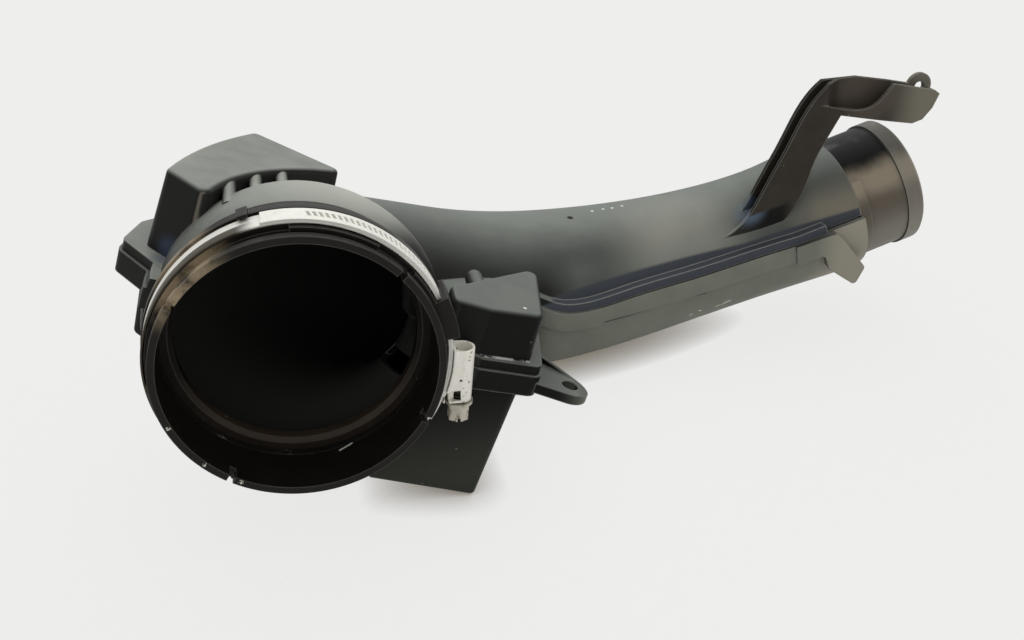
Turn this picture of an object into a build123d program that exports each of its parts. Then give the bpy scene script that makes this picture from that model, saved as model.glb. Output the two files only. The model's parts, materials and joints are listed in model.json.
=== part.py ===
"""Air intake resonator: a curved plastic air duct with two side chambers and a hose clamp.

The frame has its origin at the centre of the inlet collar's rim. -Y points out of the mouth and
+Z is up, with the duct lying as it comes to rest: on the outer edge of its right-hand chamber and
on the underside of its tube. Millimetres and degrees.
"""

import os
from math import cos, degrees, radians, sin, sqrt, tan

from build123d import *

# Moulded walls, and the gaps left where moulded pieces meet
wall = 2.5
collar_gap = 0.2

# Inlet collar: a slit ring that is clamped onto the pipe upstream
collar_bore_radius = 47.3
collar_length = 30.0
rim_wall = 2.7
rim_length = 3.2
groove_wall = 1.7
seat_start = 7.6
seat_wall = 3.9
ridge_start = 17.4
ridge_length = 3.0
ridge_height = 1.7
pad_length = 3.0
pad_span = 34.0
pad_angles = [20.0, 72.0, 200.0, 252.0, 304.0]
slit_width = 2.4
slit_length = 5.4
slit_angles = [42.0, 144.0, 236.0, 330.0]
throat_radius = 43.0
throat_start = 24.5
throat_lead = 1.6

# Ring seal in a shallow pocket against the throat's step
seal_pocket = 1.4
seal_wall = 1.3
seal_length = 3.6
seal_gap = 0.05

# Duct centreline, from the collar's rear face to the outlet's rim
duct_knots = [
    (0.0, collar_length, 0.0),
    (22.8, 91.7, -13.4),
    (98.5, 126.9, -41.0),
    (229.2, 148.2, -31.0),
    (291.6, 155.0, -13.9),
]
outlet_direction = (0.961, 0.101, 0.259)

# Duct radii outside, and the shares of the centreline over which they change
elbow_radius = 35.4
waist_radius = 29.5
outlet_radius = 31.2
elbow_share = 0.195
taper_share = 0.405
waist_share = 0.77
rail_share = 0.857
shell_share = 0.912
section_count = 11
floor_samples = 200
seam_shares = [0.49, 0.58, 0.68, 0.8, 1.0]

# Weld flange between the two shells, in heights above the centreline, and how far cuts along it go
seam_reach = 300.0
seam_height = 5.5
flange_top = 9.4
flange_bottom = -3.0
flange_width = 5.0
ledge_width = 1.0
lower_side_bulge = 3.6

# Chambers, in their own axes: rolled about the mouth axis, outlines across and along it
roll = 18.0
draft = 3.0
corner_radius = 5.0
edge_round = 1.8
seam_bend_x = 84.0
seam_lap = 8.0
left_top = 40.0
left_bottom = -27.0
left_outer_front = (-57.0, 55.5)
left_outer_bulge = (-46.0, 84.8)
left_back = (-23.5, 119.5)
left_inner = (19.0, 92.0)
left_inner_bulge = (-20.5, 70.5)
left_front = (-38.5, 36.5)
right_top = 28.3
wedge_outline = [(48.0, 19.0), (64.0, 16.5), (85.5, 19.5), (94.0, 70.5), (48.5, 33.0)]
sump_outline = [(36.0, 20.0), (86.0, 19.0), (86.0, 84.0), (62.0, 86.0), (36.0, 62.0)]
skirt_outline = [
    (40.0, 24.0),
    (65.0, 15.0),
    (90.0, 17.0),
    (99.0, 70.0),
    (84.0, 92.0),
    (24.0, 96.5),
    (-21.5, 125.0),
    (-60.0, 76.0),
    (-65.5, 57.0),
    (-46.0, 33.0),
]

# Stub ribs from the left chamber's front wall onto the duct, and behind the wedge
rib_radius = 2.4
rib_across = [-12.5, -22.5, -32.0]
rib_drop = 3.4
rib_reach = 51.5
stub_radius = 3.4
stub_start = 40.0
stub_length = 16.0
stub_round = 2.6
stub_across = 64.0
stub_drop = 4.6

# Openings from the duct into its chambers
neck_left = (-27.0, 73.0)
neck_turn = 143.0
neck_right = (47.0, 48.0)
neck_width = 22.0
neck_depth = 16.0
neck_bottom = 10.0
neck_height = 8.0

# Ear with a bolt hole at the skirt's front corner
ear_root = (86.0, 30.0)
ear_root_radius = 11.0
ear_centre = (103.4, 21.0)
ear_hole_radius = 3.25
ear_radius = 7.5
ear_lift = 1.5
ear_thickness = 4.0
ear_rim = 3.0
ear_rim_wall = 1.8

# Bracket: a channel-shaped arm that leans over the outlet and ends in an open cradle
bracket_share = 0.714
bracket_turn = 7.0
bracket_front = 24.9
bracket_rise = 17.5
bracket_depth = 8.8
plate = 1.8
web = 2.4
arm_root_depth = 12.0
arm_left = [(-1.0, -1.0), (11.5, 9.2), (18.3, 22.0), (26.8, 38.6), (36.8, 58.4), (45.0, 66.8)]
arm_right = [(26.7, 1.0), (33.4, 8.8), (38.8, 20.5), (41.5, 30.5), (46.0, 40.2), (52.3, 51.7)]
cradle_bottom = [(73.0, 47.3), (90.8, 43.9), (96.1, 45.3), (100.6, 50.4), (103.3, 56.9)]
cradle_top = [(100.6, 58.8), (79.0, 63.6), (62.5, 66.8)]
scoop_edge = [(40.5, 57.6), (52.0, 54.9), (62.0, 53.3), (68.8, 54.4), (73.0, 57.5), (79.0, 64.5)]
scoop_clear = 75.0
scoop_wall_low = 48.0
scoop_wall_end = 57.0
tab_centre = (96.6, 58.8)
tab_radius = 6.4
tab_hole_radius = 2.4

# Hook at the end of the weld flange
hook_outline = [
    (228.0, -22.5),
    (239.0, -17.5),
    (247.0, -20.0),
    (252.5, -25.0),
    (264.0, -39.0),
    (260.0, -48.0),
    (246.0, -38.5),
    (243.0, -31.0),
    (230.0, -36.0),
]
hook_front = 112.5
hook_thickness = 7.0
hook_corner = 2.0

# Outlet spigot
spigot_radius = 29.6
spigot_length = 33.4
spigot_lip_length = 8.8
spigot_lip_height = 0.9
spigot_bevel = 1.4
lug_length = 5.0
lug_first = 41.0
lug_span = 56.0

# Hose clamp: band, worm housing and screw
band_thickness = 0.8
band_width = 9.0
band_gap = 0.3
band_start = 7.0
tail_span = 112.0
housing_deg = -13.0
housing_tilt = 8.0
housing_length = 21.0
housing_wall = 0.9
housing_lift = 0.3
saddle_lap = 0.8
saddle_lip = 0.6
tail_stub = 20.0
screw_tip_round = 1.4
worm_radius = 3.4
worm_gap = 0.08
screw_tip_set_back = 2.0
flange_radius = 5.0
flange_thickness = 1.3
flange_stand_off = 0.4
hex_across_flats = 7.0
hex_height = 6.8
driver_slot_width = 1.2
driver_slot_depth = 1.6

# Moulded loop that keeps the band beside the housing, and a hook nub on the ridge
loop_first = 5.0
loop_span = 17.0
loop_wall = 2.0
loop_gap = 0.5
nub_deg = 105.0
nub_span = 4.0
nub_reach = 2.4
nub_height = 1.2

os.makedirs("parts", exist_ok=True)
turn = radians(roll)
chamber = Plane((0, 0, 0), (cos(turn), 0, -sin(turn)), (sin(turn), 0, cos(turn)))
chamber_up = Axis((0, 0, 0), chamber.z_dir)
inlet_radius = collar_bore_radius + wall
seat_radius = collar_bore_radius + seat_wall
ridge_radius = seat_radius + ridge_height

with BuildLine() as duct_line:
    Spline(*duct_knots, tangents=[(0, 1, 0), outlet_direction])
duct_path = duct_line.edges()[0]


def eased(start, end, share, first, last):
    """Value between start and end, with a smooth step from the first share to the last."""
    t = min(max((share - first) / (last - first), 0), 1)
    return start + (end - start) * t * t * (3 - 2 * t)


def duct_radius(share):
    """Outer radius of the duct at a share of its centreline."""
    if share < taper_share:
        return eased(inlet_radius, elbow_radius, share, 0, elbow_share)
    if share < waist_share:
        return eased(elbow_radius, waist_radius, share, taper_share, waist_share)
    return eased(waist_radius, outlet_radius, share, waist_share, shell_share)


def duct_section(share):
    """Plane across the duct, with its x axis level and its y axis upward."""
    along = duct_path % share
    return Plane(duct_path @ share, x_dir=Vector(0, 0, 1).cross(along), z_dir=along)


def duct_body(grow, bulge=0.0, end=shell_share):
    """Solid along the duct that stands off its outer wall by grow, and by bulge more at its sides."""
    with BuildPart() as body:
        for index in range(section_count + 1):
            share = end * index / section_count
            radius = duct_radius(share) + grow
            with BuildSketch(duct_section(share)):
                Ellipse(radius + bulge, radius)
        loft()
    return body.part


def chamber_seam(x):
    """Height of the chambers' seam plane at a place across the part."""
    return (seam_height - x * sin(turn)) / cos(turn)


def seam_point(share, shift):
    """Point on the seam beside the tube, seen along the mouth axis and raised by shift."""
    centre = duct_path @ share
    return (centre.X, centre.Z + seam_height + shift)


def seam_band(low, high):
    """Prism right across the part between the seam raised by low and the seam raised by high."""
    chamber_along = (cos(turn), -sin(turn))
    outlet_along = (outlet_direction[0], outlet_direction[2])
    ends = []
    with BuildPart() as band:
        with BuildSketch(Plane.XZ.offset(-seam_reach)):
            with BuildLine():
                for shift in (low, high):
                    edge = (-seam_reach, chamber_seam(-seam_reach) + shift)
                    bend = (seam_bend_x, chamber_seam(seam_bend_x) + shift)
                    tube = [seam_point(share, shift) for share in seam_shares]
                    Line(edge, bend)
                    Spline(bend, *tube, tangents=[chamber_along, outlet_along])
                    ends.append((edge, tube[-1]))
                Line(ends[0][0], ends[1][0])
                Line(ends[0][1], ends[1][1])
            make_face()
        extrude(amount=2 * seam_reach)
    return band.part


def left_outline():
    """Left chamber's outline, which curves round the outside of the elbow."""
    with BuildSketch() as outline:
        with BuildLine():
            Line(left_outer_front, left_front)
            ThreePointArc(left_front, left_inner_bulge, left_inner)
            Line(left_inner, left_back)
            ThreePointArc(left_back, left_outer_bulge, left_outer_front)
        make_face()
        fillet(outline.vertices(), corner_radius)
    return outline.sketch


def straight_outline(points, radius=corner_radius):
    """Outline with straight sides and rounded corners."""
    with BuildSketch() as outline:
        with BuildLine():
            Polyline(*points, close=True)
        make_face()
        fillet(outline.vertices(), radius)
    return outline.sketch


def chamber_block(outline, height, inset=0.0):
    """Drafted block from just across the seam to a height above it or below, or its hollow."""
    side = 1 if height > seam_height else -1
    start = seam_height - side * seam_lap
    with BuildPart() as block:
        with BuildSketch(chamber.offset(start)):
            add(outline)
            if inset:
                offset(amount=-inset)
        extrude(amount=height - side * inset - start, taper=draft)
    return block.part


def rounded_block(outline, height):
    """Drafted block with the edges of its far face rounded."""
    with BuildPart() as block:
        add(chamber_block(outline, height))
        end = block.faces().sort_by(chamber_up)[-1 if height > seam_height else 0]
        fillet(end.edges(), edge_round)
    return block.part


def outline_offset(outline, amount):
    """Outline grown or shrunk by an amount."""
    with BuildSketch() as moved:
        add(outline)
        offset(amount=amount)
    return moved.sketch


def tube_floor():
    """Lowest height of the duct's underside, where the tube lies on the floor."""
    lows = []
    for index in range(floor_samples + 1):
        share = shell_share * index / floor_samples
        steep = (duct_path % share).Z
        lows.append((duct_path @ share).Z - duct_radius(share) * sqrt(1 - steep * steep))
    return min(lows)


def radial_plane(around):
    """Plane through the mouth axis: x outward at an angle round the collar, y into the duct."""
    angle = radians(around)
    return Plane((0, 0, 0), x_dir=(cos(angle), 0, sin(angle)), z_dir=(-sin(angle), 0, cos(angle)))


def collar_sector(first, span, points):
    """Part of a ring round the mouth axis with a profile of radii and depths."""
    with BuildPart() as sector:
        with BuildSketch(radial_plane(first + span)):
            with BuildLine():
                Polyline(*points, close=True)
            make_face()
        revolve(axis=Axis.Y, revolution_arc=span)
    return sector.part


def box_profile(inner, outer, front, back):
    """Corners of a rectangular ring profile."""
    return [(inner, front), (outer, front), (outer, back), (inner, back)]


sump_right = max(x for x, y in sump_outline)
sump_lean = tan(radians(draft)) * sin(turn)
right_bottom = (tube_floor() + sump_right * sin(turn) - seam_height * sump_lean) / (cos(turn) - sump_lean)
flange_up = flange_top - seam_height
flange_down = flange_bottom - seam_height

upper_duct = duct_body(0)
lower_duct = duct_body(0, lower_side_bulge)
left_block = left_outline()
wedge_block = straight_outline(wedge_outline)
sump_block = straight_outline(sump_outline)
skirt = straight_outline(skirt_outline)

# Room that the shells leave for the inlet collar
ridge_end = ridge_start + ridge_length
with BuildPart() as collar_room:
    with BuildSketch(Plane.XZ.offset(-ridge_end - collar_gap)):
        Circle(ridge_radius + collar_gap)
    extrude(amount=seam_reach)
    with BuildSketch(Plane.XZ.offset(-collar_length)):
        Circle(inlet_radius + collar_gap)
    extrude(amount=collar_length)

# Hollows of the chambers outside the duct's wall, with an opening into the duct for each
left_neck_plane = chamber.offset(neck_bottom) * Location((*neck_left, 0), (0, 0, neck_turn))
right_neck_plane = chamber.offset(-neck_bottom) * Location((*neck_right, 0))

with BuildPart() as upper_hollows:
    add(chamber_block(left_block, left_top, wall))
    add(chamber_block(wedge_block, right_top, wall))
    add(upper_duct, mode=Mode.SUBTRACT)
    with BuildSketch(left_neck_plane):
        Rectangle(neck_depth, neck_width)
    extrude(amount=neck_height)

with BuildPart() as lower_hollows:
    add(chamber_block(left_block, left_bottom, wall))
    add(chamber_block(sump_block, right_bottom, wall))
    add(lower_duct, mode=Mode.SUBTRACT)
    with BuildSketch(right_neck_plane):
        Rectangle(neck_depth, neck_width)
    extrude(amount=-neck_height)

# Bracket on the upper shell
bracket_angle = radians(bracket_turn)
bracket_out = Vector(sin(bracket_angle), -cos(bracket_angle), 0)
bracket_plane = Plane(
    duct_path @ bracket_share + bracket_out * bracket_front + Vector(0, 0, bracket_rise),
    x_dir=(cos(bracket_angle), sin(bracket_angle), 0),
    z_dir=bracket_out,
)
arm_root_left = (arm_left[0][0], arm_left[0][1] - arm_root_depth)
arm_root_right = (arm_right[0][0], arm_right[0][1] - arm_root_depth)
scoop_top_left = (scoop_edge[0][0], scoop_clear)
scoop_top_right = (scoop_edge[-1][0], scoop_clear)

with BuildSketch() as bracket_side:
    with BuildLine():
        Line(arm_root_left, arm_root_right)
        Line(arm_root_right, arm_right[0])
        Spline(*arm_right)
        Polyline(arm_right[-1], *cradle_bottom, *cradle_top, arm_left[-1])
        Spline(*reversed(arm_left))
        Line(arm_left[0], arm_root_left)
    make_face()

# Wall that leads from the arm's front plate back to the cradle's rear plate
scoop_floor = Plane(bracket_plane.from_local_coords((0, scoop_wall_low, 0)), bracket_plane.x_dir, (0, 0, 1))
scoop_depth = bracket_depth - plate

with BuildPart() as scoop_wall:
    with BuildSketch(scoop_floor):
        with BuildLine():
            front = [(scoop_edge[0][0], 0), (scoop_wall_end, scoop_depth)]
            back = [(x, y + plate) for x, y in front]
            for ends in (front, back):
                Spline(*ends, tangents=[(1, 0), (1, 0)])
            Line(front[0], back[0])
            Line(front[1], back[1])
        make_face()
    extrude(amount=scoop_clear - scoop_wall_low)
    with BuildSketch(bracket_plane):
        add(bracket_side.sketch)
    extrude(amount=-bracket_depth, mode=Mode.INTERSECT)

with BuildPart() as bracket:
    with BuildSketch(bracket_plane):
        add(bracket_side.sketch)
    extrude(amount=-bracket_depth)
    with BuildSketch(bracket_plane.offset(-plate)):
        with Locations((-web, web)):
            add(bracket_side.sketch)
    extrude(amount=2 * plate - bracket_depth, mode=Mode.SUBTRACT)
    with BuildSketch(bracket_plane):
        with BuildLine():
            Spline(*scoop_edge)
            Polyline(scoop_edge[-1], scoop_top_right, scoop_top_left, scoop_edge[0])
        make_face()
    extrude(amount=-plate - web / 2, mode=Mode.SUBTRACT)
    add(scoop_wall.part)
    with BuildSketch(bracket_plane.offset(-bracket_depth)):
        with Locations(tab_centre):
            Circle(tab_radius)
    extrude(amount=plate)
    with BuildSketch(bracket_plane.offset(-bracket_depth)):
        with Locations(tab_centre):
            Circle(tab_hole_radius)
    extrude(amount=2 * plate, mode=Mode.SUBTRACT)

# Upper shell
with BuildPart() as stub:
    stub_root = chamber.from_local_coords((stub_across, stub_start, right_top - stub_drop))
    with BuildSketch(Plane(stub_root, z_dir=(0, 1, 0))):
        Circle(stub_radius)
    extrude(amount=stub_length)
    fillet(stub.edges().sort_by(Axis.Y)[-1], stub_round)

with BuildPart() as upper_flange:
    add(duct_body(flange_width - ledge_width, end=rail_share))
    add(seam_band(-seam_lap, flange_up), mode=Mode.INTERSECT)
    with BuildSketch(chamber.offset(seam_height - seam_lap)):
        add(outline_offset(skirt, -ledge_width))
    extrude(amount=flange_up + seam_lap)

with BuildPart() as upper_shell:
    add(upper_duct)
    add(rounded_block(left_block, left_top))
    add(rounded_block(wedge_block, right_top))
    add(stub.part)
    for across in rib_across:
        rib_root = chamber.from_local_coords((across, left_inner[1], left_top - rib_drop))
        with BuildSketch(Plane(rib_root, z_dir=(0, -1, 0))):
            Circle(rib_radius)
        extrude(amount=rib_reach)
    add(upper_flange.part)
    add(bracket.part)
    add(seam_band(-seam_reach, 0), mode=Mode.SUBTRACT)
    add(collar_room.part, mode=Mode.SUBTRACT)
    add(upper_hollows.part, mode=Mode.SUBTRACT)
    add(duct_body(-wall), mode=Mode.SUBTRACT)
upper_shell.part.label = "upper_shell"

# Lower shell
with BuildPart() as lower_flange:
    add(duct_body(flange_width, end=rail_share))
    add(seam_band(flange_down, seam_lap), mode=Mode.INTERSECT)
    with BuildSketch(chamber.offset(flange_bottom)):
        add(skirt)
    extrude(amount=seam_height - flange_bottom + seam_lap)

ear_plane = chamber.offset(flange_bottom + ear_lift)
with BuildSketch() as ear_outline:
    with Locations(ear_root):
        Circle(ear_root_radius)
    with Locations(ear_centre):
        Circle(ear_radius)
    make_hull()

with BuildPart() as ear:
    with BuildSketch(ear_plane):
        add(ear_outline.sketch)
    extrude(amount=ear_thickness)
    with BuildSketch(ear_plane):
        add(ear_outline.sketch)
        add(outline_offset(ear_outline.sketch, -ear_rim_wall), mode=Mode.SUBTRACT)
        with Locations(ear_centre):
            Rectangle(4 * ear_radius, 4 * ear_radius, align=(Align.CENTER, Align.MAX), mode=Mode.SUBTRACT)
    extrude(amount=ear_thickness + ear_rim)
    with BuildSketch(ear_plane):
        with Locations(ear_centre):
            Circle(ear_hole_radius)
    extrude(amount=ear_thickness + ear_rim, mode=Mode.SUBTRACT)

with BuildPart() as lower_shell:
    add(lower_duct)
    add(rounded_block(left_block, left_bottom))
    add(rounded_block(sump_block, right_bottom))
    add(lower_flange.part)
    add(ear.part)
    with BuildSketch(Plane.XZ.offset(-hook_front)):
        add(straight_outline(hook_outline, hook_corner))
    extrude(amount=-hook_thickness)
    add(seam_band(0, seam_reach), mode=Mode.SUBTRACT)
    add(collar_room.part, mode=Mode.SUBTRACT)
    add(lower_hollows.part, mode=Mode.SUBTRACT)
    add(duct_body(-wall, lower_side_bulge), mode=Mode.SUBTRACT)
lower_shell.part.label = "lower_shell"

# Inlet collar with its clamp seat, pads, slits, loop and hook nub
rim_radius = collar_bore_radius + rim_wall
groove_radius = collar_bore_radius + groove_wall
pocket_radius = collar_bore_radius + seal_pocket
pocket_start = throat_start - seal_length - seal_gap
band_inner = seat_radius + band_gap
band_outer = band_inner + 2 * band_thickness
loop_inner = band_outer + loop_gap
loop_outer = loop_inner + loop_wall
band_end = band_start + band_width

with BuildPart() as inlet_collar:
    with BuildSketch(Plane.XY):
        with BuildLine():
            Polyline(
                (collar_bore_radius, 0),
                (rim_radius, 0),
                (rim_radius, rim_length),
                (groove_radius, rim_length),
                (groove_radius, seat_start),
                (seat_radius, seat_start),
                (seat_radius, ridge_start),
                (ridge_radius, ridge_start),
                (ridge_radius, ridge_end),
                (inlet_radius, ridge_end),
                (inlet_radius, collar_length),
                (throat_radius, collar_length),
                (throat_radius, throat_start + throat_lead),
                (throat_radius + throat_lead, throat_start),
                (pocket_radius, throat_start),
                (pocket_radius, pocket_start),
                (collar_bore_radius, pocket_start),
                close=True,
            )
        make_face()
    revolve(axis=Axis.Y)
    for middle in pad_angles:
        pad = box_profile(groove_radius - groove_wall / 2, seat_radius, seat_start - pad_length, seat_start)
        add(collar_sector(middle - pad_span / 2, pad_span, pad))
    loop_front = band_start - loop_gap - loop_wall
    loop_back = ridge_start + ridge_length / 2
    loop_profile = [
        (groove_radius - groove_wall / 2, loop_front),
        (loop_outer, loop_front),
        (loop_outer, loop_back),
        (loop_inner, loop_back),
        (loop_inner, loop_front + loop_wall),
        (groove_radius - groove_wall / 2, loop_front + loop_wall),
    ]
    add(collar_sector(loop_first, loop_span, loop_profile))
    nub_inner = band_outer + band_gap
    nub_outer = nub_inner + nub_height
    nub = [
        (seat_radius, ridge_end),
        (seat_radius, ridge_start),
        (nub_inner, ridge_start),
        (nub_inner, band_end - nub_reach),
        (nub_outer, band_end - nub_reach),
        (nub_outer, ridge_end),
    ]
    add(collar_sector(nub_deg - nub_span / 2, nub_span, nub))
    for middle in slit_angles:
        with BuildSketch(radial_plane(middle)):
            with Locations((collar_bore_radius, 0)):
                Rectangle(4 * rim_wall, 2 * slit_length)
        extrude(amount=slit_width / 2, both=True, mode=Mode.SUBTRACT)
inlet_collar.part.label = "inlet_collar"

# Ring seal that lies against the throat's step
with BuildPart() as collar_seal:
    with BuildSketch(Plane.XY) as seal_profile:
        with Locations((pocket_radius - seal_gap - seal_wall / 2, throat_start - seal_length / 2)):
            RectangleRounded(seal_wall, seal_length, seal_wall / 3)
    revolve(axis=Axis.Y)
collar_seal.part.label = "collar_seal"

# Outlet spigot on the end of the shells
spigot_root = duct_section(shell_share)
spigot_plane = Plane(spigot_root.origin, x_dir=spigot_root.x_dir, z_dir=-spigot_root.y_dir)
spigot_axis = Axis(spigot_root.origin, spigot_root.z_dir)
spigot_bore = spigot_radius - wall
lug_angle = radians(lug_first)
lug_out = spigot_root.y_dir * sin(lug_angle) - spigot_root.x_dir * cos(lug_angle)
lug_plane = Plane(spigot_root.origin, x_dir=lug_out, z_dir=lug_out.cross(spigot_root.z_dir))

with BuildPart() as outlet_spigot:
    lip_start = spigot_length - spigot_lip_length
    with BuildSketch(spigot_plane):
        with BuildLine():
            Polyline(
                (spigot_bore, 0),
                (spigot_radius, 0),
                (spigot_radius, lip_start),
                (spigot_radius + spigot_lip_height, lip_start),
                (spigot_radius + spigot_lip_height, spigot_length - spigot_bevel),
                (spigot_radius + spigot_lip_height - spigot_bevel, spigot_length),
                (spigot_bore, spigot_length),
                close=True,
            )
        make_face()
    revolve(axis=spigot_axis)
    with BuildSketch(lug_plane):
        with Locations((spigot_bore, 0)):
            Rectangle(outlet_radius - spigot_bore, lug_length, align=(Align.MIN, Align.MIN))
    revolve(axis=spigot_axis, revolution_arc=lug_span)
outlet_spigot.part.label = "outlet_spigot"

# Hose clamp
with BuildPart() as clamp_band:
    with BuildSketch(Plane.XY):
        with BuildLine():
            strap = box_profile(band_inner, band_inner + band_thickness, band_start, band_end)
            Polyline(*strap, close=True)
        make_face()
    revolve(axis=Axis.Y)
    tail = box_profile(band_inner + band_thickness / 2, band_outer, band_start, band_end)
    add(collar_sector(housing_deg - tail_stub, tail_span + tail_stub, tail))
clamp_band.part.label = "clamp_band"

saddle_inner = band_outer + housing_lift
saddle_outer = saddle_inner + housing_wall
worm_bore = worm_radius + worm_gap
barrel_radius = worm_bore + housing_wall
screw_offset = saddle_inner + barrel_radius
saddle_deg = degrees(housing_length / saddle_inner)
saddle_first = housing_deg - saddle_deg / 2
housing_angle = radians(housing_deg)
band_middle = band_start + band_width / 2
worm_angle = radians(housing_deg + housing_tilt)
worm_along = Vector(-sin(worm_angle), 0, cos(worm_angle))
worm_centre = Vector(screw_offset * cos(housing_angle), band_middle, screw_offset * sin(housing_angle))
housing_low = Plane(worm_centre - worm_along * (housing_length / 2), x_dir=(0, 1, 0), z_dir=worm_along)

with BuildPart() as clamp_housing:
    with BuildSketch(housing_low):
        Circle(barrel_radius)
        with Locations((0, barrel_radius / 2)):
            Rectangle(2 * barrel_radius, barrel_radius)
    extrude(amount=housing_length)
    saddle = box_profile(saddle_inner, saddle_outer, band_start - saddle_lap, band_end + saddle_lap)
    add(collar_sector(saddle_first, saddle_deg, saddle))
    for front in (band_start - saddle_lap, band_end + saddle_lap - saddle_lip):
        lip = box_profile(band_inner + band_gap, saddle_outer, front, front + saddle_lip)
        add(collar_sector(saddle_first, saddle_deg, lip))
    with BuildSketch(Plane.XZ):
        Circle(saddle_inner)
    extrude(amount=seam_reach, both=True, mode=Mode.SUBTRACT)
    with BuildSketch(housing_low):
        Circle(worm_bore)
    extrude(amount=housing_length, mode=Mode.SUBTRACT)
clamp_housing.part.label = "clamp_housing"

with BuildPart() as clamp_screw:
    flange_plane = housing_low.offset(-flange_stand_off)
    with BuildSketch(flange_plane):
        Circle(worm_radius)
    extrude(amount=housing_length + flange_stand_off - screw_tip_set_back)
    fillet(clamp_screw.edges().sort_by(Axis(worm_centre, worm_along))[-1], screw_tip_round)
    with BuildSketch(flange_plane):
        Circle(flange_radius)
    extrude(amount=-flange_thickness)
    with BuildSketch(flange_plane.offset(-flange_thickness)):
        RegularPolygon(hex_across_flats / 2, 6, major_radius=False)
    extrude(amount=-hex_height)
    with BuildSketch(flange_plane.offset(-flange_thickness - hex_height)):
        Rectangle(2 * hex_across_flats, driver_slot_width)
    extrude(amount=driver_slot_depth, mode=Mode.SUBTRACT)
clamp_screw.part.label = "clamp_screw"

pieces = [
    inlet_collar,
    collar_seal,
    upper_shell,
    lower_shell,
    outlet_spigot,
    clamp_band,
    clamp_housing,
    clamp_screw,
]
for piece in pieces:
    export_step(piece.part, f"parts/{piece.part.label}.step")
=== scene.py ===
import json
from math import cos, pi, radians, sin, tau

import bmesh
import bpy
from mathutils import Matrix, Vector


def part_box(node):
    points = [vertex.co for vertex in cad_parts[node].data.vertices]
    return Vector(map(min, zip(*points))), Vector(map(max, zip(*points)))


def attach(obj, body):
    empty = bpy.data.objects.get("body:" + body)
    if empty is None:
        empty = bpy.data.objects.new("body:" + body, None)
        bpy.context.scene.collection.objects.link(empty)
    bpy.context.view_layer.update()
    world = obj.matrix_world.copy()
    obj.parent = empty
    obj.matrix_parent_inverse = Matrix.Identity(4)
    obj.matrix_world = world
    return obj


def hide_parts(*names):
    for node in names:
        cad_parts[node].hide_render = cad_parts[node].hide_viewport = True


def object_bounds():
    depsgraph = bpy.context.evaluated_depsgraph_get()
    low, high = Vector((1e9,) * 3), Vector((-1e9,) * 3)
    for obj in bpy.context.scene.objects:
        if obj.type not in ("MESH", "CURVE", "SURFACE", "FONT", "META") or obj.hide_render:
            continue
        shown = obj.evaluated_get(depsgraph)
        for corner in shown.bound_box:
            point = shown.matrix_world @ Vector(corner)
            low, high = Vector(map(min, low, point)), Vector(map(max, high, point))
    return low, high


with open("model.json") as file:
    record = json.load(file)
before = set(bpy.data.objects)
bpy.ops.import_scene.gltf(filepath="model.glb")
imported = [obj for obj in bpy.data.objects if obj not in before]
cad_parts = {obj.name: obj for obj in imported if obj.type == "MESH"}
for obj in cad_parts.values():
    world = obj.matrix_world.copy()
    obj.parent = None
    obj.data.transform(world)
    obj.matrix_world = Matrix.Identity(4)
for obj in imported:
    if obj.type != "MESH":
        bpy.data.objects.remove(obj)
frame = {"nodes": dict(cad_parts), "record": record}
cad_low, cad_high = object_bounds()

# Millimetre in the scene's metres
MM = 0.001


# Finishes: shader maths as expressions
class Signal:
    """A socket of a finish, with arithmetic that adds Math nodes."""

    def __init__(self, finish, socket):
        self.finish = finish
        self.socket = socket

    def math(self, operation, *others):
        return self.finish.node("ShaderNodeMath", {"operation": operation}, [self, *others])

    def from_number(self, operation, number):
        return self.finish.node("ShaderNodeMath", {"operation": operation}, [number, self])

    def __add__(self, other):
        return self.math("ADD", other)

    def __radd__(self, other):
        return self.math("ADD", other)

    def __sub__(self, other):
        return self.math("SUBTRACT", other)

    def __rsub__(self, other):
        return self.from_number("SUBTRACT", other)

    def __mul__(self, other):
        return self.math("MULTIPLY", other)

    def __rmul__(self, other):
        return self.math("MULTIPLY", other)

    def __truediv__(self, other):
        return self.math("DIVIDE", other)

    def __pow__(self, other):
        return self.math("POWER", other)


class Shading:
    """An emptied node tree, and the one way in which nodes are added to it."""

    def __init__(self, owner):
        owner.use_nodes = True
        self.tree = owner.node_tree
        self.tree.nodes.clear()

    def node(self, kind, settings=(), inputs=(), output=0):
        made = self.tree.nodes.new(kind)
        for name, value in dict(settings).items():
            setattr(made, name, value)
        pairs = inputs.items() if isinstance(inputs, dict) else enumerate(inputs)
        for key, value in pairs:
            if isinstance(value, Signal):
                self.tree.links.new(value.socket, made.inputs[key])
            else:
                made.inputs[key].default_value = value
        return Signal(self, made.outputs[output]) if made.outputs else None

    def part_of(self, vector, letter):
        return self.node("ShaderNodeSeparateXYZ", inputs=[vector], output=letter)

    def seen_rays(self):
        """1 for the rays that show the backdrop, and 0 for those that only carry light."""
        seen = sum(self.node("ShaderNodeLightPath", output=f"Is {kind} Ray") for kind in RAYS_THAT_SEE)
        return self.node("ShaderNodeClamp", inputs=[seen, 0.0, 1.0])


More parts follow.
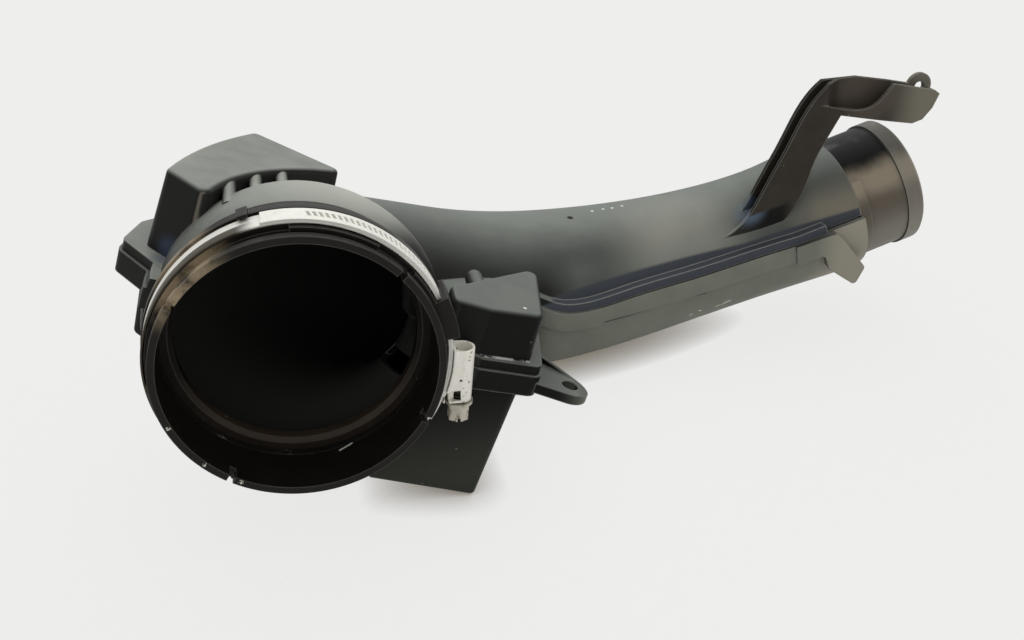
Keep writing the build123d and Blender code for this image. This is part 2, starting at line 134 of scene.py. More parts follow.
class Finish(Shading):
    """A material under construction, read in millimetres of the part's own frame."""

    def __init__(self, name):
        self.material = bpy.data.materials.new(name)
        super().__init__(self.material)
        self.normal = self.node("ShaderNodeTexCoord", output="Normal")
        metres = self.node("ShaderNodeTexCoord", output="Object")
        self.place = self.vector("SCALE", metres, scale=1 / MM)
        self.x = self.part_of(self.place, "X")
        self.y = self.part_of(self.place, "Y")
        self.z = self.part_of(self.place, "Z")
        self.facing_up = self.part_of(self.normal, "Z")

    def vector(self, operation, *inputs, scale=None, output=0):
        values = dict(enumerate(inputs))
        if scale is not None:
            values["Scale"] = scale
        return self.node("ShaderNodeVectorMath", {"operation": operation}, values, output)

    def step(self, value, low, high):
        """Smooth change from 0 at low to 1 at high."""
        flipped = low > high
        first, last = (high, low) if flipped else (low, high)
        ramp = self.node(
            "ShaderNodeMapRange",
            {"interpolation_type": "SMOOTHSTEP"},
            {"Value": value, "From Min": first, "From Max": last},
        )
        return 1 - ramp if flipped else ramp

    def mix(self, share, first, second):
        """Colour between two colours."""
        return self.node("ShaderNodeMix", {"data_type": "RGBA"}, {0: share, 6: first, 7: second}, 2)

    def noise(self, size, detail=3.0, stretch=(1, 1, 1), roughness=0.55):
        """Noise from 0 to 1 with features about size millimetres across."""
        scaled = self.vector("MULTIPLY", self.place, tuple(1 / (size * s) for s in stretch))
        values = {"Vector": scaled, "Scale": 1.0, "Detail": detail, "Roughness": roughness}
        return self.node("ShaderNodeTexNoise", inputs=values)

    def specks(self, spacing, share, size):
        """Scattered dots: 1 on a dot, with a share of the cells left empty."""
        scaled = self.vector("SCALE", self.place, scale=1 / spacing)
        values = {"Vector": scaled, "Scale": 1.0}
        reach = self.node("ShaderNodeTexVoronoi", inputs=values, output="Distance")
        tint = self.node("ShaderNodeTexVoronoi", inputs=values, output="Color")
        chosen = self.step(self.node("ShaderNodeSeparateColor", inputs=[tint]), 1 - share, 1 - share + 0.01)
        return self.step(reach, size / spacing, 0.5 * size / spacing) * chosen

    def near(self, point, reach, fade):
        """1 within reach of a point, down to 0 a fade further out."""
        away = self.vector("DISTANCE", self.place, point, output="Value")
        return self.step(away, reach + fade, reach)

    def away_from(self, first, last):
        """Vector from the nearest point of a straight stretch between two points."""
        start, run = Vector(first), Vector(last) - Vector(first)
        offset = self.vector("SUBTRACT", self.place, tuple(start))
        along = self.vector("DOT_PRODUCT", offset, tuple(run / run.length_squared), output="Value")
        held = self.node("ShaderNodeClamp", inputs=[along, 0.0, 1.0])
        foot = self.vector("SCALE", tuple(run), scale=held)
        return self.vector("SUBTRACT", offset, foot)

    def stroke(self, first, last, width):
        """1 on a straight stroke between two points, as wide as width."""
        away = self.vector("LENGTH", self.away_from(first, last), output="Value")
        return self.step(away, width / 2, width / 4)

    def facing_line(self, first, last):
        """1 on a surface that looks at a straight stretch, as a duct's inside does, and 0 outside."""
        away = self.vector("NORMALIZE", self.away_from(first, last))
        outward = self.vector("DOT_PRODUCT", away, self.normal, output="Value")
        return self.step(outward, 0.1, -0.15)

    def reach(self, first, last):
        """Distance in millimetres from the line through two points."""
        run = (Vector(last) - Vector(first)).normalized()
        offset = self.vector("SUBTRACT", self.place, first)
        across = self.vector("CROSS_PRODUCT", offset, tuple(run))
        return self.vector("LENGTH", across, output="Value")

    def edges(self, radius):
        """Softened normal, and how far it leaves the true one, which marks the edges."""
        soft = self.node("ShaderNodeBevel", {"samples": 6}, {"Radius": radius * MM})
        true = self.node("ShaderNodeNewGeometry", output="Normal")
        agree = self.vector("DOT_PRODUCT", soft, true, output="Value")
        return soft, self.step(agree, 0.995, 0.9)

    def bump(self, height, strength, depth, normal):
        values = {"Strength": strength, "Distance": depth * MM, "Height": height, "Normal": normal}
        return self.node("ShaderNodeBump", inputs=values)

    def surface(self, color, roughness, normal, metallic=0.0, shine=0.5):
        """Finishes the material with a Principled shader."""
        values = {
            "Base Color": color,
            "Roughness": roughness,
            "Metallic": metallic,
            "Specular IOR Level": shine,
            "Normal": normal,
        }
        shader = self.node("ShaderNodeBsdfPrincipled", inputs=values)
        self.node("ShaderNodeOutputMaterial", inputs={"Surface": shader})
        return self.material


def shade(red, green, blue):
    """Colour as it reads on a screen, from 0 to 255, in the renderer's linear values."""
    levels = [level / 255 for level in (red, green, blue)]
    linear = [v / 12.92 if v < 0.04045 else ((v + 0.055) / 1.055) ** 2.4 for v in levels]
    return (*linear, 1.0)


# Shared colours of the moulded plastic and what lies on it, with painted sheen and highlights
PLASTIC = shade(15, 15, 14)
INSIDE = shade(50, 50, 49)
RAIL_NAVY = shade(66, 70, 77)
EDGE_HIGHLIGHT = shade(176, 178, 174)
DUST_AND_SHEEN = shade(122, 127, 122)
PALE_DUST_AND_SHEEN = shade(182, 184, 176)
SCUFF_AND_HIGHLIGHT = shade(150, 150, 142)
CHALK_AND_GLINT = shade(232, 232, 222)
BROWN_LIGHT = shade(116, 112, 101)

# How strongly each kind of surface mirrors the room
SHELL_SHINE = 0.1
COLLAR_SHINE = 0.16
STEEL_SHINE = 0.4

# Rays to which the pale floor and backdrop show
RAYS_THAT_SEE = ("Camera", "Glossy", "Transmission")

# Stretches in millimetres over which one part of the shells gives way to the next
WEDGE_X, WEDGE_Y = (40, 46), (78, 70)
LEFT_X, LEFT_Z = (40, 0), (14, 26)
SHOULDER_Z = (24, 40)
FLANK_X = (104, 124)
TUBE_END_X = (222, 244)
RAIL_X, RAIL_LEDGE = (96, 104), (-37.5, -39)
PAST_RAIL_X, PAST_RAIL_Y = (233, 237), (148, 154)
BRACKET_REACH, BRACKET_X, BRACKET_Z = (32.6, 34.2), (188, 193), (-18, -12)
BRACKET_TIP_X = (268, 290)
LOWER_TUBE_X, LOWER_END_X = (92, 112), (236, 252)
SUMP_Z = (-26, -72)
LEDGE_X = (100, 108)
THROAT_Y, THROAT_Z = (24.2, 25), (-8, -34)

# Slope of the rail along the tube, and its steeper end
RAIL_CLIMB = 0.07
RAIL_BEND = 205
RAIL_END_CLIMB = 0.13

# Places on the shells in millimetres: worn, dusty and marked spots, and spots of painted sheen, highlight
# and reflection
ELBOW_SHEEN = (30, 48, 42)
LEFT_FRONT_WALL = (-29, 43, 39)
LEFT_FILLET_REFLECTION = (-43, 47, 27)
CRADLE = (262, 132, 39)
DUCT_LINE = [(0, 0, 0), (12, 75, -7), (98, 127, -41), (290, 155, -14)]
DUCT_TURNS = (90, 225)
SKIRT_HIGHLIGHT = ((57, 16.6, -7.8), (83.5, 20.2, -17.3))
TUBE_PATCH = (176, 115.5, -23)
BRACKET_ROOT_REFLECTION = (207, 121.5, -8)
OUTLET_LINE = ((188, 142.9, -37.9), (257.3, 151.4, -23.2))
OUTLET_RUN = (0.9596, 0.1017, 0.2624)
LIP_START = 285.3
COLLAR_GLINT = ((11.5, 18.8, -45.8), (16.0, 20.4, -44.4))
SEAL_GLINT = ((-30.0, 21.7, -34.8), (-7.4, 22.5, -45.4))
DARK_SPOT = (124.5, 128.3, -8.9)
WHITE_SPECKS = [
    (136.4, 134.8, -9.2),
    (142.0, 136.5, -9.4),
    (146.5, 137.1, -9.5),
    (151.7, 138.8, -9.7),
    (82.5, 25.3, 3.0),
]
DARK_SCRATCH = [(133.1, 94.7, -45.2), (155.4, 100.1, -44.3), (184.4, 108.3, -42.7)]
CHALK_STROKES = [
    ((178.9, 111.7, -55.3), (181.2, 112.0, -52.6)),
    ((181.2, 112.0, -52.6), (183.9, 111.9, -53.6)),
    ((190.6, 113.9, -56.4), (193.4, 114.2, -52.6)),
    ((194.4, 114.5, -53.6), (199.4, 114.6, -51.4)),
    ((196.4, 114.4, -51.2), (198.4, 114.3, -49.2)),
]
TAN_RECESS = (-35.1, 7.6, 36.2)
RIM_CHIPS = [(-35.3, 0, -33.2), (-45.5, 0, -17.0), (-24.0, 0, -42.0)]


def inside_duct(f):
    """1 on the walls that look at the duct's centreline, stretch by stretch along it."""
    mouth, elbow, tube = (f.facing_line(*ends) for ends in zip(DUCT_LINE, DUCT_LINE[1:]))
    along = f.x + f.y
    first, second = (f.step(along, turn - 4, turn + 4) for turn in DUCT_TURNS)
    return mouth * (1 - first) + elbow * first * (1 - second) + tube * second


def rail_height(f):
    """Height beside the tube, level along the rail that climbs with it."""
    end = f.node("ShaderNodeMath", {"operation": "MAXIMUM"}, [f.x - RAIL_BEND, 0.0])
    return f.z - RAIL_CLIMB * f.x - RAIL_END_CLIMB * end


def upper_shell_finish():
    f = Finish("upper_shell_plastic")
    soft, edge = f.edges(0.9)
    mottle = f.noise(13, 5)
    patches = f.noise(38, 3)
    fine = f.noise(0.5, 2)
    up = f.node("ShaderNodeMath", {"operation": "MAXIMUM"}, [f.facing_up, 0.0])
    sideways = f.part_of(f.normal, "X")
    wedge = f.step(f.x, *WEDGE_X) * f.step(f.y, *WEDGE_Y)
    # Up-facing surfaces lighter: settled dust and painted sheen
    dust_and_sheen = up ** 3.0 * (0.8 + 0.5 * mottle) * (1 - 0.24 * wedge)
    color = f.mix(dust_and_sheen, PLASTIC, DUST_AND_SHEEN)
    # Left chamber's top lighter: pale dust and painted sheen
    left = f.step(f.x, *LEFT_X) * up ** 4.0 * f.step(f.z, *LEFT_Z)
    color = f.mix(left * (0.05 + 0.45 * mottle), color, PALE_DUST_AND_SHEEN)
    # Painted sheen on the elbow's shoulder
    shoulder_sheen = f.near(ELBOW_SHEEN, 10, 44) * f.step(f.z, *SHOULDER_Z) * f.step(f.facing_up, 0.3, 0.9)
    color = f.mix(shoulder_sheen * (0.5 + 0.5 * patches), color, PALE_DUST_AND_SHEEN)
    front_wall = f.near(LEFT_FRONT_WALL, 8, 12) * f.step(f.part_of(f.normal, "Y"), -0.8, -0.95)
    color = f.mix(front_wall * 0.9, color, shade(120, 115, 104))
    # Painted bluish reflection on the left fillet
    color = f.mix(f.near(LEFT_FILLET_REFLECTION, 2, 6) * 0.6, color, shade(58, 70, 92))
    # Pale patch on the tube: rubbed dust and painted sheen
    rubbed_and_sheen = f.near(TUBE_PATCH, 10, 34) * f.step(patches, -0.2, 0.6) * f.step(f.facing_up, -0.1, 0.25)
    color = f.mix(rubbed_and_sheen * 0.7, color, shade(156, 156, 147))
    # Tube's flanks lighter: dust and painted sheen
    flank = f.step(f.x, *FLANK_X) * f.step(f.facing_up, 0.0, 0.3) * f.step(f.facing_up, 0.8, 0.5)
    color = f.mix(flank * (0.32 + 0.16 * mottle), color, DUST_AND_SHEEN)
    tube_end = f.step(f.x, *TUBE_END_X) * f.step(f.facing_up, 0.85, 0.4)
    color = f.mix(tube_end * (0.5 + 0.5 * mottle), color, shade(128, 122, 109))
    # Painted bluish reflection at the bracket's root
    color = f.mix(f.near(BRACKET_ROOT_REFLECTION, 3, 8) * 0.8, color, shade(98, 116, 138))
    past_rail = f.step(f.x, *PAST_RAIL_X) * f.step(f.y, *PAST_RAIL_Y)
    rail = f.step(rail_height(f), *RAIL_LEDGE) * f.step(f.x, *RAIL_X) * (1 - past_rail)
    color = f.mix(rail, color, RAIL_NAVY)
    # Painted highlight along the rail's edges
    color = f.mix(rail * edge * (0.4 + 0.6 * mottle), color, EDGE_HIGHLIGHT)
    beyond = f.step(f.reach(*OUTLET_LINE), *BRACKET_REACH)
    bracket = beyond * f.step(f.x, *BRACKET_X) * f.step(f.z, *BRACKET_Z)
    brown = f.mix(mottle, shade(40, 36, 32), shade(64, 59, 53))
    # Painted shade on the bracket's left-facing side
    brown = f.mix(f.step(sideways, -0.2, -0.6), brown, shade(24, 22, 21))
    brown = f.mix(f.near(CRADLE, 9, 8), brown, shade(76, 69, 62))
    brown = f.mix(f.step(f.x, *BRACKET_TIP_X), brown, BROWN_LIGHT)
    color = f.mix(bracket, color, brown)
    color = f.mix(f.near(DARK_SPOT, 1.0, 0.8), color, shade(34, 34, 32))
    for speck in WHITE_SPECKS:
        color = f.mix(f.near(speck, 0.4, 0.5), color, CHALK_AND_GLINT)
    color = f.mix(f.specks(6, 0.12, 0.55) * 0.5, color, SCUFF_AND_HIGHLIGHT)
    # Lighter edges: wear and painted highlight
    color = f.mix(edge * (0.25 + 0.5 * mottle), color, SCUFF_AND_HIGHLIGHT)
    # Painted highlight, broken, along the skirt's top edge
    skirt_highlight = f.stroke(*SKIRT_HIGHLIGHT, 1.6) * f.step(f.noise(2.4, 3), 0.4, 0.55)
    color = f.mix(skirt_highlight * 0.85, color, shade(206, 208, 205))
    color = f.mix(inside_duct(f), color, INSIDE)
    roughness = 0.42 + 0.2 * dust_and_sheen
    normal = f.bump(fine, 0.25, 0.12, soft)
    return f.surface(color, roughness, normal, shine=SHELL_SHINE)


def lower_shell_finish():
    f = Finish("lower_shell_plastic")
    soft, edge = f.edges(0.9)
    mottle = f.noise(16, 5)
    fine = f.noise(0.5, 2)
    up = f.node("ShaderNodeMath", {"operation": "MAXIMUM"}, [f.facing_up, 0.0])
    tube = f.step(f.x, *LOWER_TUBE_X)
    front = f.mix(f.step(f.z, *SUMP_Z), shade(16, 17, 15), shade(58, 60, 54))
    side = f.mix(mottle, shade(102, 106, 97), shade(132, 135, 124))
    end = f.mix(f.step(f.x, *LOWER_END_X), side, shade(150, 146, 134))
    color = f.mix(tube, front, end)
    # Up-facing surfaces lighter: settled dust and painted sheen
    dust_and_sheen = up ** 3.0 * (0.45 + 0.5 * mottle)
    on_rail = f.step(f.x, *LEDGE_X)
    color = f.mix(dust_and_sheen * (1 - on_rail), color, DUST_AND_SHEEN)
    ledge = f.step(f.facing_up, 0.6, 0.85) * on_rail
    color = f.mix(ledge * 0.45, color, RAIL_NAVY)
    for first, last in zip(DARK_SCRATCH, DARK_SCRATCH[1:]):
        color = f.mix(f.stroke(first, last, 1.0) * 0.7, color, shade(40, 42, 38))
    broken = f.step(f.noise(1.6, 3), 0.38, 0.5)
    for first, last in CHALK_STROKES:
        color = f.mix(f.stroke(first, last, 1.3) * broken, color, CHALK_AND_GLINT)
    color = f.mix(f.specks(7, 0.14, 0.6) * 0.5, color, SCUFF_AND_HIGHLIGHT)
    # Lighter edges: wear and painted highlight
    color = f.mix(edge * (0.25 + 0.5 * mottle), color, SCUFF_AND_HIGHLIGHT)
    color = f.mix(inside_duct(f), color, INSIDE)
    normal = f.bump(fine, 0.25, 0.12, soft)
    return f.surface(color, 0.5, normal, shine=SHELL_SHINE)


def collar_finish():
    f = Finish("collar_plastic")
    soft, edge = f.edges(0.6)
    mottle = f.noise(9, 4)
    fine = f.noise(0.6, 2)
    color = f.mix(mottle, shade(17, 16, 14), shade(31, 27, 23))
    throat = f.step(f.y, *THROAT_Y) * f.step(f.z, *THROAT_Z)
    color = f.mix(throat * (0.3 + 0.7 * mottle), color, shade(72, 61, 50))
    color = f.mix(f.near(TAN_RECESS, 8, 14) * f.step(mottle, 0.25, 0.55), color, shade(150, 134, 110))
    # Lighter rim edges: wear and painted highlight
    color = f.mix(edge * (0.15 + 0.5 * mottle), color, shade(122, 120, 112))
    for chip in RIM_CHIPS:
        color = f.mix(f.near(chip, 0.4, 0.7) * f.step(f.noise(0.9, 2), 0.45, 0.55), color, CHALK_AND_GLINT)
    # Painted glint on the collar's inner edge
    color = f.mix(f.stroke(*COLLAR_GLINT, 1.2) * 0.9, color, CHALK_AND_GLINT)
    color = f.mix(f.specks(7, 0.16, 0.4) * 0.5, color, CHALK_AND_GLINT)
    roughness = 0.3 + 0.25 * mottle
    normal = f.bump(fine, 0.2, 0.1, soft)
    return f.surface(color, roughness, normal, shine=COLLAR_SHINE)


def spigot_finish():
    f = Finish("spigot_plastic")
    soft, edge = f.edges(0.7)
    mottle = f.noise(12, 5)
    fine = f.noise(0.5, 2)
    # Colour by facing direction: painted light and shade, with a dark band of painted shade near the top
    tilt = f.facing_up + 0.16 * (mottle - 0.5)
    color = f.mix(f.step(tilt, -0.3, 0.2), shade(124, 121, 112), shade(96, 89, 80))
    color = f.mix(f.step(tilt, 0.25, 0.55), color, shade(146, 136, 120))
    color = f.mix(f.step(tilt, 0.62, 0.84), color, shade(10, 10, 10))
    color = f.mix(f.step(tilt, 0.95, 1.02), color, shade(100, 102, 101))
    along = f.vector("DOT_PRODUCT", f.place, OUTLET_RUN, output="Value")
    lip = f.step(along, LIP_START - 0.3, LIP_START + 0.3)
    color = f.mix(lip * 0.45, color, shade(140, 137, 128))
    # Lighter edges: wear and painted highlight
    color = f.mix(edge * (0.2 + 0.5 * mottle), color, SCUFF_AND_HIGHLIGHT)
    color = f.mix(f.facing_line(*OUTLET_LINE), color, INSIDE)
    normal = f.bump(fine, 0.2, 0.1, soft)
    return f.surface(color, 0.5, normal, shine=SHELL_SHINE)


def seal_finish():
    f = Finish("seal_rubber")
    soft, edge = f.edges(0.4)
    mottle = f.noise(5, 3)
    color = f.mix(mottle, shade(12, 12, 12), shade(26, 25, 23))
    wet = f.step(f.noise(11, 2), 0.52, 0.62)
    glint = f.stroke(*SEAL_GLINT, 5.0) * f.step(f.noise(1.8, 3), 0.5, 0.6)
    color = f.mix(glint * 0.7, color, shade(150, 148, 142))
    normal = f.bump(f.noise(0.8), 0.15, 0.1, soft)
    return f.surface(color, 0.45 - 0.3 * wet, normal)


def steel_finish(name, light, dark, dirt, spoil=None):
    f = Finish(name)
    soft, edge = f.edges(0.3)
    mottle = f.noise(4, 5)
    brushed = f.noise(0.4, 3, (1, 12, 1))
    color = f.mix(mottle, dark, light)
    stained = f.step(f.noise(2.2, 4), 0.66 - 0.2 * dirt, 0.78 - 0.2 * dirt)
    color = f.mix(stained * 0.8, color, shade(104, 92, 74))
    if spoil:
        color = spoil(f, color)
    roughness = 0.38 + 0.2 * brushed
    normal = f.bump(brushed, 0.1, 0.05, soft)
    return f.surface(color, roughness, normal, metallic=0.25, shine=STEEL_SHINE)


# Painted shade and grease on the clamp: stretches in millimetres, and the shaded band's width along the
# strap's front edge
FRONT_SHADE_X = (-9, -17)
FRONT_SHADE_WIDTH = 4.6
GREASE_SHADE_LOW, GREASE_SHADE_HIGH = (-25, -23), (-6, -8)


def shaded_front_edge(f, color):
    """Painted shade along the strap's front edge, away from the tail."""
    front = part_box("clamp_band")[0].y / MM + FRONT_SHADE_WIDTH
    # Painted shade: darker band along the front edge
    front_shade = f.step(f.x, *FRONT_SHADE_X) * f.step(f.y, front + 0.4, front - 0.4)
    return f.mix(front_shade, color, shade(66, 60, 48))


def greasy_shaded_worm(f, color):
    """Dark grease and painted shade on the worm between the head and the tip."""
    return f.mix(f.step(f.z, *GREASE_SHADE_LOW) * f.step(f.z, *GREASE_SHADE_HIGH), color, shade(40, 35, 29))


def slot_finish():
    f = Finish("slot_dirt_and_shade")
    # Slot recesses darker: dirt and painted shade
    color = f.mix(f.noise(0.9, 3), shade(132, 127, 116), shade(196, 192, 182))
    true = f.node("ShaderNodeNewGeometry", output="Normal")
    return f.surface(color, 0.7, f.bump(f.noise(0.3), 0.2, 0.05, true), metallic=0.2)


# The hose clamp, rebuilt with its punched slots, thread and window
MERGE = 1e-6
FLAT = radians(1.0)
SMOOTH = radians(38)


def merged_copy(node):
    """Mesh of a node with its loose triangles joined and its flat faces whole."""
    bm = bmesh.new()
    bm.from_mesh(frame["nodes"][node].data)
    bmesh.ops.remove_doubles(bm, verts=bm.verts, dist=MERGE)
    bmesh.ops.dissolve_limit(bm, angle_limit=FLAT, verts=bm.verts, edges=bm.edges)
    return bm


def soften(bm, width, least=radians(35)):
    """Rounds the sharp edges."""
    sharp = [e for e in bm.edges if e.is_manifold and e.calc_face_angle() > least]
    bmesh.ops.bevel(
        bm,
        geom=sharp,
        offset=width * MM,
        offset_type="OFFSET",
        affect="EDGES",
        segments=2,
        profile=0.5,
        material=-1,
        clamp_overlap=True,
    )


def add_piece(name, bm, body, node, materials):
    """Object of a finished mesh that rides on a body and stands for a node."""
    mesh = bpy.data.meshes.new(name)
    bm.to_mesh(mesh)
    bm.free()
    for material in materials:
        mesh.materials.append(material)
    mesh.shade_smooth()
    mesh.set_sharp_from_angle(angle=SMOOTH)
    piece = bpy.data.objects.new(name, mesh)
    bpy.context.scene.collection.objects.link(piece)
    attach(piece, body)
    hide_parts(node)
    return piece


def carve(bm, cutter):
    """Cuts one closed mesh out of another."""
    pair = []
    for shape in (bm, cutter):
        mesh = bpy.data.meshes.new("carving")
        shape.to_mesh(mesh)
        shape.free()
        pair.append(bpy.data.objects.new("carving", mesh))
        bpy.context.scene.collection.objects.link(pair[-1])
    body, tool = pair
    cut = body.modifiers.new("cut", "BOOLEAN")
    cut.operation = "DIFFERENCE"
    cut.solver = "EXACT"
    cut.object = tool
    result = bpy.data.meshes.new_from_object(body.evaluated_get(bpy.context.evaluated_depsgraph_get()))
    carved = bmesh.new()
    carved.from_mesh(result)
    for obj in pair:
        bpy.data.meshes.remove(obj.data)
    bpy.data.meshes.remove(result)
    return carved


# Strap: one full turn, with a tail over it that has a row of slanted slots
STRAP_EDGE = 0.18
STRAP_STEPS = 192
TAIL_FIRST = radians(-33)
TAIL_LAST = radians(99)
SLOT_LAST = radians(83)
SLOT_PITCH = 2.1
SLOT_ROWS = (0.28, 0.78)
SLOT_MARGIN = 0.58
SLOT_DEPTH = 0.22
SLOT_SLANT = 0.22


def make_strap():
    low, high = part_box("clamp_band")
    ring_outer, tail_outer = -low.x, high.x
    thick = tail_outer - ring_outer
    bm = bmesh.new()
    corners = [(r, y, 0) for r, y in (
        (ring_outer - thick, low.y), (ring_outer, low.y), (ring_outer, high.y), (ring_outer - thick, high.y)
    )]
    section = bm.faces.new([bm.verts.new(corner) for corner in corners])
    edges = list(section.edges)
    bmesh.ops.delete(bm, geom=[section], context="FACES_ONLY")
    bmesh.ops.spin(
        bm, geom=edges, cent=(0, 0, 0), axis=(0, 1, 0), angle=tau, steps=STRAP_STEPS, use_merge=True
    )
    bmesh.ops.remove_doubles(bm, verts=bm.verts, dist=MERGE)
    bmesh.ops.recalc_face_normals(bm, faces=bm.faces)
    soften(bm, STRAP_EDGE, radians(60))

    # Tail, pressed flat and then wrapped round
    middle = (low.y + high.y) / 2
    width = high.y - low.y
    length = (TAIL_LAST - TAIL_FIRST) * tail_outer
    cells = round(length / (SLOT_PITCH * MM))
    tail = bmesh.new()
    bmesh.ops.create_grid(tail, x_segments=cells, y_segments=3, size=0.5)
    rows = sorted({round(v.co.y, 4) for v in tail.verts})
    for v in tail.verts:
        row = rows.index(round(v.co.y, 4))
        v.co.y = (0, *SLOT_ROWS, 1)[row] - 0.5
    bmesh.ops.scale(tail, vec=(length, width, 1), verts=tail.verts)
    slot_end = (SLOT_LAST - TAIL_FIRST) * tail_outer - length / 2
    slotted = [
        face
        for face in tail.faces
        if abs(face.calc_center_median().y) < width / 10 and face.calc_center_median().x < slot_end
    ]
    bmesh.ops.inset_individual(tail, faces=slotted, thickness=SLOT_MARGIN * MM, depth=0)
    for face in slotted:
        for v in face.verts:
            v.co.x += SLOT_SLANT * v.co.y
    bmesh.ops.inset_individual(tail, faces=slotted, thickness=0.1 * MM, depth=-SLOT_DEPTH * MM)
    for face in slotted:
        face.material_index = 1
    for v in tail.verts:
        angle = TAIL_FIRST + (v.co.x + length / 2) / tail_outer
        reach = tail_outer + v.co.z
        v.co = (reach * cos(angle), middle + v.co.y, reach * sin(angle))
    rim = [edge for edge in tail.edges if edge.is_boundary]
    wall = bmesh.ops.extrude_edge_only(tail, edges=rim)
    for v in (item for item in wall["geom"] if isinstance(item, bmesh.types.BMVert)):
        share = (tail_outer - thick) / tail_outer
        v.co.x *= share
        v.co.z *= share
    bmesh.ops.recalc_face_normals(tail, faces=tail.faces)
    outside = max(tail.faces, key=lambda face: face.calc_area())
    centre = outside.calc_center_median()
    if outside.normal.dot((centre.x, 0, centre.z)) < 0:
        bmesh.ops.reverse_faces(tail, faces=tail.faces)
    mesh = bpy.data.meshes.new("tail")
    tail.to_mesh(mesh)
    tail.free()
    bm.from_mesh(mesh)
    bpy.data.meshes.remove(mesh)
    return bm


# Worm screw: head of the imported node, with a threaded shank
WORM_ROOT = 2.5
WORM_TIP = 3.35
WORM_PITCH = 2.2
WORM_STEPS = 28
HEAD_EDGE = 0.28
TIP_RECESS = 2.6


def worm_axis():
    joint = frame["record"]["behaviour"]["joints"][0]
    return Vector(joint["pos_m"]), Vector(joint["axis"]).normalized()


def make_worm():
    centre, along = worm_axis()
    bm = merged_copy("clamp_screw")
    reaches = [(v.co - centre).dot(along) for v in bm.verts]
    wide = [
        (v.co - centre).dot(along)
        for v in bm.verts
        if ((v.co - centre) - along * (v.co - centre).dot(along)).length > (WORM_TIP + 0.4) * MM
    ]
    seat, tip = max(wide), max(reaches) - TIP_RECESS * MM
    everything = [*bm.verts, *bm.edges, *bm.faces]
    bmesh.ops.bisect_plane(
        bm, geom=everything, plane_co=centre + along * (seat + MERGE * 40), plane_no=along, clear_outer=True
    )
    bmesh.ops.holes_fill(bm, edges=[edge for edge in bm.edges if edge.is_boundary], sides=0)
    soften(bm, HEAD_EDGE)

    shank = bmesh.new()
    length = tip - seat
    bmesh.ops.create_cone(
        shank,
        cap_ends=True,
        segments=WORM_STEPS,
        radius1=WORM_ROOT * MM,
        radius2=WORM_ROOT * MM,
        depth=length,
    )
    soften(shank, 0.6, radians(60))
    thread = bmesh.new()
    half = WORM_PITCH * MM / 2
    low = -length / 2
    profile = [
        (WORM_ROOT - 0.2, 0.12),
        (WORM_TIP, 0.36),
        (WORM_TIP, 0.64),
        (WORM_ROOT - 0.2, 0.88),
    ]
    verts = [thread.verts.new((r * MM, 0, low + 2 * half * share)) for r, share in profile]
    face = thread.faces.new(verts)
    turns = int(length / (2 * half)) - 1
    bmesh.ops.spin(
        thread,
        geom=[face],
        cent=(0, 0, 0),
        axis=(0, 0, 1),
        dvec=(0, 0, 2 * half / WORM_STEPS),
        angle=turns * tau,
        steps=turns * WORM_STEPS,
    )
    bmesh.ops.holes_fill(thread, edges=[edge for edge in thread.edges if edge.is_boundary], sides=0)
    bmesh.ops.recalc_face_normals(thread, faces=thread.faces)
    turn = along.to_track_quat("Z", "Y").to_matrix().to_4x4()
    place = Matrix.Translation(centre + along * (seat + tip) / 2) @ turn
    for extra in (shank, thread):
        bmesh.ops.transform(extra, matrix=place, verts=extra.verts)
        mesh = bpy.data.meshes.new("shank")
        extra.to_mesh(mesh)
        extra.free()
        bm.from_mesh(mesh)
        bpy.data.meshes.remove(mesh)
    return bm


# Worm housing with the window through its wall and a punched dot
WINDOW_CENTRE = (52.4, 6.6, -20.4)
WINDOW_SIZE = (6.0, 5.0, 4.2)
DOT_CENTRE = (55.6, 7.1, -14.2)
DOT_RADIUS = 0.55
BARREL_EDGE = 0.16


def make_housing():
    tool = bmesh.new()
    bmesh.ops.create_cube(tool, size=1)
    bmesh.ops.scale(tool, vec=Vector(WINDOW_SIZE) * MM, verts=tool.verts)
    bmesh.ops.translate(tool, vec=Vector(WINDOW_CENTRE) * MM, verts=tool.verts)
    bm = carve(merged_copy("clamp_housing"), tool)
    dot = bmesh.new()
    bmesh.ops.create_cone(
        dot,
        cap_ends=True,
        segments=20,
        radius1=DOT_RADIUS * MM,
        radius2=DOT_RADIUS * MM,
        depth=2 * MM,
        matrix=Matrix.Translation(Vector(DOT_CENTRE) * MM) @ Matrix.Rotation(pi / 2, 4, "X"),
    )
    bm = carve(bm, dot)
    bmesh.ops.remove_doubles(bm, verts=bm.verts, dist=MERGE)
    bmesh.ops.dissolve_limit(bm, angle_limit=FLAT, verts=bm.verts, edges=bm.edges)
    soften(bm, BARREL_EDGE, radians(50))
    return bm


FINISHES = {
    "upper_shell": upper_shell_finish,
    "lower_shell": lower_shell_finish,
    "inlet_collar": collar_finish,
    "outlet_spigot": spigot_finish,
    "collar_seal": seal_finish,
}
for node, make in FINISHES.items():
    frame["nodes"][node].data.materials.clear()
    frame["nodes"][node].data.materials.append(make())

strap_steel = steel_finish("strap_steel", shade(234, 233, 227), shade(214, 213, 205), 0.0, shaded_front_edge)
housing_steel = steel_finish("housing_steel", shade(246, 244, 237), shade(230, 227, 217), 0.3)
screw_steel = steel_finish("screw_steel", shade(212, 208, 196), shade(166, 160, 146), 0.6, greasy_shaded_worm)
add_piece("clamp_strap", make_strap(), "duct", "clamp_band", [strap_steel, slot_finish()])
add_piece("worm_housing", make_housing(), "duct", "clamp_housing", [housing_steel])
add_piece("worm_screw", make_worm(), "clamp_screw", "clamp_screw", [screw_steel])


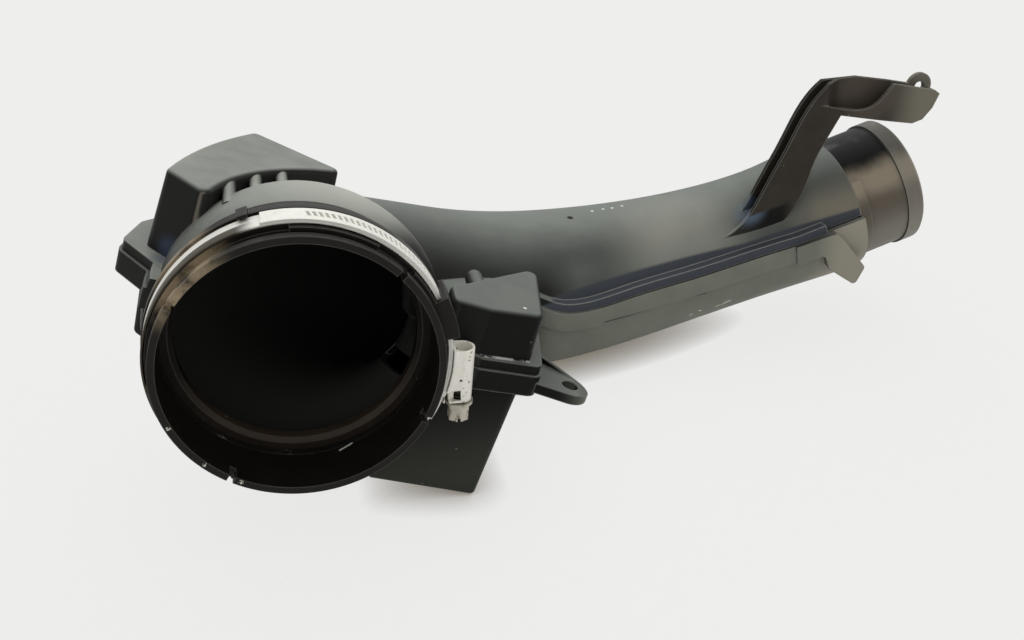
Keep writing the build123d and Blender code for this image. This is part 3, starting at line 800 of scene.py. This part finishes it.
# Floor, light and camera
FLOOR_REACH = 30.0
FLOOR_SHADE = shade(239, 239, 238)
SHADOW_SHADE = shade(112, 103, 88)
SHADOW_REACH = 14
FLOOR_EVEN = 0.92
ROOM_TINT = (1.0, 0.99, 0.965, 1)
ROOM_LOW = 0.3
ROOM_HIGH = 1.0
SKY_POWER = 1.0
SUN_FROM = Vector((0.15, 0.55, 0.82))


def floor_finish():
    """White paper that looks evenly lit, with a faint warm shadow that deepens under the duct."""
    f = Finish("floor_paper")
    color = f.mix(f.noise(3, 2), FLOOR_SHADE, shade(237, 237, 236))
    open_sky = f.node("ShaderNodeAmbientOcclusion", {"samples": 8}, {"Distance": SHADOW_REACH * MM}, "AO")
    shown = f.mix(open_sky, SHADOW_SHADE, color)
    share = f.seen_rays() * FLOOR_EVEN
    paper = f.node("ShaderNodeBsdfDiffuse", inputs={"Color": color})
    glow = f.node("ShaderNodeEmission", inputs={"Color": shown})
    both = f.node("ShaderNodeMixShader", inputs=[share, paper, glow])
    f.node("ShaderNodeOutputMaterial", inputs={"Surface": both})
    return f.material


def lay_floor():
    mesh = bpy.data.meshes.new("floor")
    bm = bmesh.new()
    bmesh.ops.create_grid(bm, x_segments=1, y_segments=1, size=FLOOR_REACH)
    bmesh.ops.translate(bm, verts=bm.verts, vec=(0, 0, cad_low.z))
    bm.to_mesh(mesh)
    bm.free()
    floor = bpy.data.objects.new("floor", mesh)
    bpy.context.scene.collection.objects.link(floor)
    mesh.materials.append(floor_finish())


def light_studio():
    """A pale room that is brighter overhead, a backdrop as pale as the floor, and a broad soft lamp."""
    world = bpy.data.worlds.new("studio")
    bpy.context.scene.world = world
    sky = Shading(world)
    height = sky.part_of(sky.node("ShaderNodeTexCoord"), "Z")
    heights = {"Value": height, "To Min": ROOM_LOW, "To Max": ROOM_HIGH}
    level = sky.node("ShaderNodeMapRange", inputs=heights)
    room = sky.node("ShaderNodeBackground", inputs={"Color": ROOM_TINT, "Strength": level})
    backdrop = sky.node("ShaderNodeBackground", inputs={"Color": FLOOR_SHADE})
    both = sky.node("ShaderNodeMixShader", inputs=[sky.seen_rays(), room, backdrop])
    sky.node("ShaderNodeOutputWorld", inputs={"Surface": both})
    lamp = bpy.data.lights.new("soft_lamp", "SUN")
    lamp.energy = SKY_POWER
    lamp.angle = radians(70)
    holder = bpy.data.objects.new("soft_lamp", lamp)
    holder.rotation_mode = "QUATERNION"
    holder.rotation_quaternion = SUN_FROM.to_track_quat("Z", "Y")
    bpy.context.scene.collection.objects.link(holder)


# The photograph's camera: place in millimetres, its forward direction, and its lens
CAMERA_PLACE = Vector((3.05, -354.28, 207.95))
CAMERA_FORWARD = Vector((0.16954, 0.86287, -0.47614))
CAMERA_LENS = 42.19


def set_camera():
    data = bpy.data.cameras.new("camera")
    data.lens = CAMERA_LENS
    data.sensor_width = 36
    data.clip_start = 0.01
    camera = bpy.data.objects.new("camera", data)
    camera.location = CAMERA_PLACE * MM
    camera.rotation_mode = "QUATERNION"
    camera.rotation_quaternion = CAMERA_FORWARD.to_track_quat("-Z", "Y")
    bpy.context.scene.collection.objects.link(camera)
    bpy.context.scene.camera = camera
    bpy.context.scene.view_settings.view_transform = "Standard"


lay_floor()
light_studio()
set_camera()
